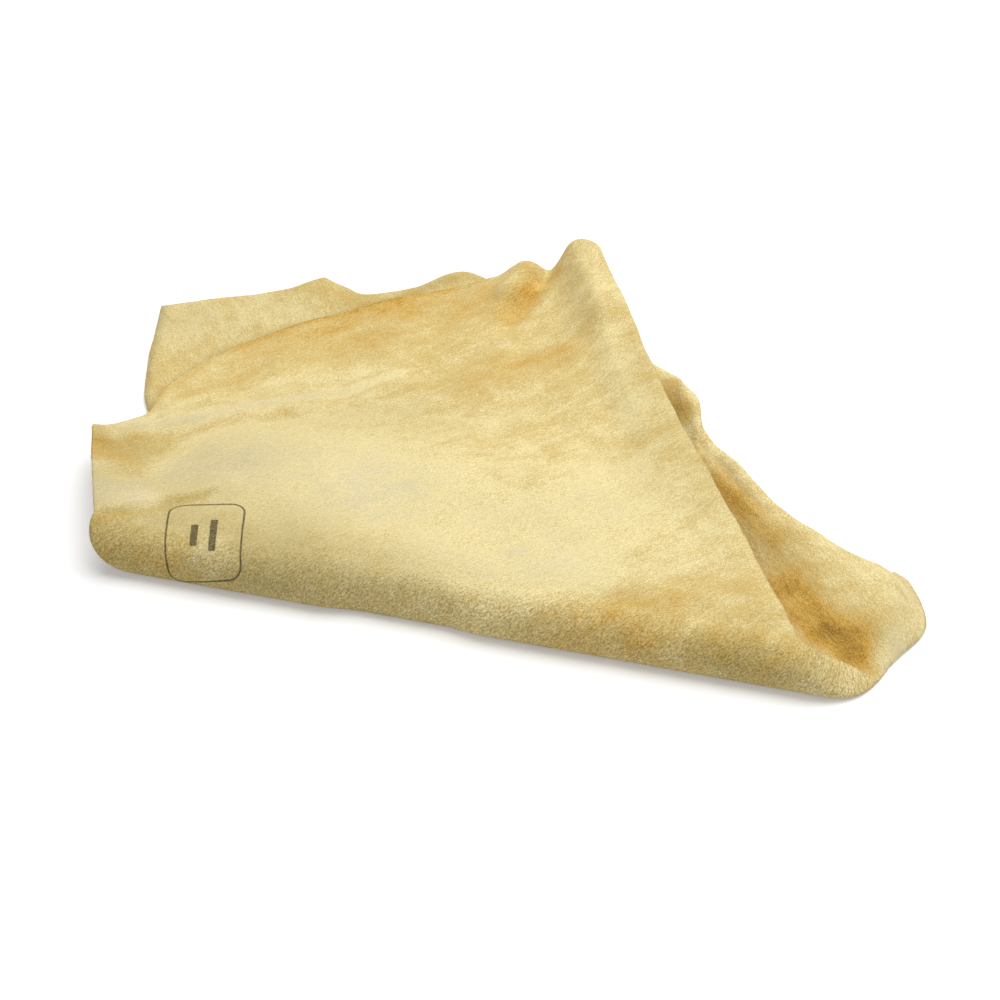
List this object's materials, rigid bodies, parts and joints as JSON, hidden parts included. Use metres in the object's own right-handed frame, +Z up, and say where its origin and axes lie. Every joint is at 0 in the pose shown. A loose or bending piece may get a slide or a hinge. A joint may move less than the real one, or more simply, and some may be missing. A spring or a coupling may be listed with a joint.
{
  "type": "chamois leather",
  "caption": "Napped chamois leather skin lying folded over once along a soft front fold, its top leaf opening about the fold, for drying and polishing.",
  "frame": {"origin": "middle of the bounding box in plan, at the level of the table that the skin lies on", "axes": "+X along the front fold towards its low tip, +Y from the fold towards the free edges, +Z up"},
  "size_m": [0.3372, 0.2156, 0.0373],
  "materials": {
    "skin": "napped on both sides, matte"
  },
  "bodies": {
    "under_leaf": {"under_leaf": "skin"},
    "top_leaf": {"top_leaf": "skin"}
  },
  "joints": [
    {"name": "fold_hinge", "type": "hinge", "parent": "under_leaf", "child": "top_leaf", "pos_m": [0.02141, -0.10775, 0.00683], "axis": [1, 0, 0], "range_deg": [0, 150]}
  ]
}
